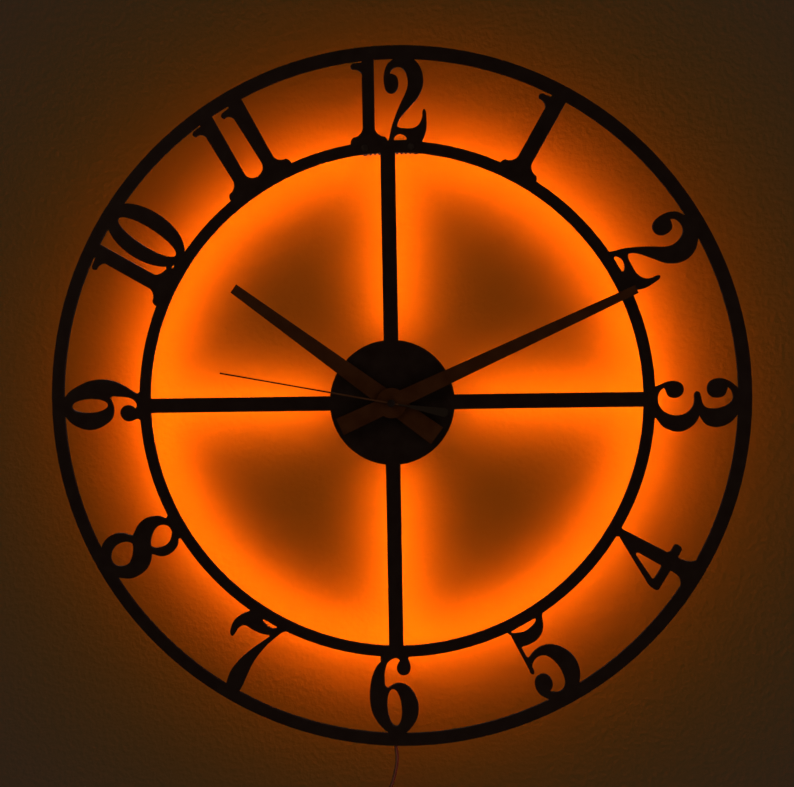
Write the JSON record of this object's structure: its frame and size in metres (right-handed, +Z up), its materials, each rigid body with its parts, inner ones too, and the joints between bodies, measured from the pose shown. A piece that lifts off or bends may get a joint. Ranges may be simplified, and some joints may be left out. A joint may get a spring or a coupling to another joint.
{
  "type": "wall clock",
  "caption": "Round skeleton wall clock cut from black sheet, with numerals between its rings, amber backlights, baton hands, a geared quartz movement and a power lead.",
  "frame": {"origin": "hang point: the middle notch of the hanger, taken to the wall plane", "axes": "+Z up, the dial faces -Y, +Y into the wall, +X to the viewer's right"},
  "size_m": [0.5999, 0.0475, 0.7344],
  "materials": {
    "plate_black": "matt black powder coat on steel sheet",
    "zinc_steel": "zinc-plated strip",
    "rivet_steel": "blackened rivet, worn on the head",
    "black_rubber": "soft rubber",
    "strip_black": "flexible printed strip, black",
    "led_amber": "amber light diode, lit",
    "wire_red": "insulated hook-up wire",
    "movement_black": "fine-grained moulding",
    "turned_brass": "turned",
    "cell_sleeve": "printed sleeve without marks",
    "spring_steel": "nickelled strip",
    "magnet_grey": "sintered magnet",
    "soft_iron": "stamped sheet",
    "coil_copper": "enamelled wire",
    "board_green": "solder mask",
    "gear_white": "natural acetal",
    "hand_dark": "satin dark paint",
    "lead_brown": "soft insulation, two conductors side by side",
    "bright_barrel": "nickel-plated"
  },
  "bodies": {
    "frame": {"dial_plate": "plate_black", "hanger_bracket": "zinc_steel", "hanger_rivets": "rivet_steel", "standoff_posts": "plate_black", "wall_feet": "black_rubber", "ring_led_strip": "strip_black", "ring_leds": "led_amber", "spoke_led_strips": "strip_black", "spoke_leds": "led_amber", "strip_jumpers": "wire_red", "hub_jumper": "wire_red", "movement_gasket": "black_rubber", "movement_case": "movement_black", "case_cover": "movement_black", "fixing_washer": "turned_brass", "fixing_nut": "turned_brass", "battery_cell": "cell_sleeve", "battery_contacts": "spring_steel", "stator": "soft_iron", "coil_core": "soft_iron", "drive_coil": "coil_copper", "circuit_board": "board_green", "lead_inner": "lead_brown", "lead_clip": "movement_black", "power_lead": "lead_brown", "lead_coil": "lead_brown", "coil_tie": "movement_black", "dc_plug": "movement_black", "plug_barrel": "bright_barrel"},
    "seconds": {"seconds_wheel": "gear_white", "second_hand": "hand_dark", "second_hand_bush": "hand_dark"},
    "minutes": {"cannon_pinion": "turned_brass", "minute_hand": "hand_dark"},
    "hours": {"hour_wheel": "gear_white", "hour_hand": "hand_dark"},
    "setting": {"minute_work_wheel": "gear_white", "setting_knob": "movement_black"},
    "drive": {"drive_wheel": "gear_white"},
    "third": {"third_wheel": "gear_white"},
    "intermediate": {"intermediate_wheel": "gear_white"},
    "rotor": {"rotor": "magnet_grey"}
  },
  "joints": [
    {"name": "seconds_spin", "type": "hinge", "parent": "frame", "child": "seconds", "pos_m": [0, -0.04585, -0.22], "axis": [0, 1, 0], "continuous": true},
    {"name": "minute_spin", "type": "hinge", "parent": "frame", "child": "minutes", "pos_m": [0, -0.0437, -0.22], "axis": [0, 1, 0], "continuous": true},
    {"name": "hour_spin", "type": "hinge", "parent": "frame", "child": "hours", "pos_m": [0, -0.0413, -0.22], "axis": [0, 1, 0], "continuous": true},
    {"name": "minute_work_spin", "type": "hinge", "parent": "frame", "child": "setting", "pos_m": [0.012, -0.02975, -0.22], "axis": [0, 1, 0], "continuous": true},
    {"name": "drive_spin", "type": "hinge", "parent": "frame", "child": "drive", "pos_m": [0, -0.0281, -0.22], "axis": [0, 1, 0], "continuous": true},
    {"name": "third_spin", "type": "hinge", "parent": "frame", "child": "third", "pos_m": [-0.00935, -0.02645, -0.2146], "axis": [0, 1, 0], "continuous": true},
    {"name": "intermediate_spin", "type": "hinge", "parent": "frame", "child": "intermediate", "pos_m": [0.00335, -0.02315, -0.21079], "axis": [0, 1, 0], "continuous": true},
    {"name": "rotor_spin", "type": "hinge", "parent": "frame", "child": "rotor", "pos_m": [0.01147, -0.025, -0.20862], "axis": [0, 1, 0], "continuous": true}
  ],
  "couplings": [
    {"joint": "third_spin", "follows": "seconds_spin", "ratio": -0.13333},
    {"joint": "drive_spin", "follows": "seconds_spin", "ratio": 0.016667},
    {"joint": "intermediate_spin", "follows": "seconds_spin", "ratio": -6},
    {"joint": "rotor_spin", "follows": "seconds_spin", "ratio": 30},
    {"joint": "minute_work_spin", "follows": "minute_spin", "ratio": -0.33333},
    {"joint": "hour_spin", "follows": "minute_spin", "ratio": 0.083333}
  ]
}
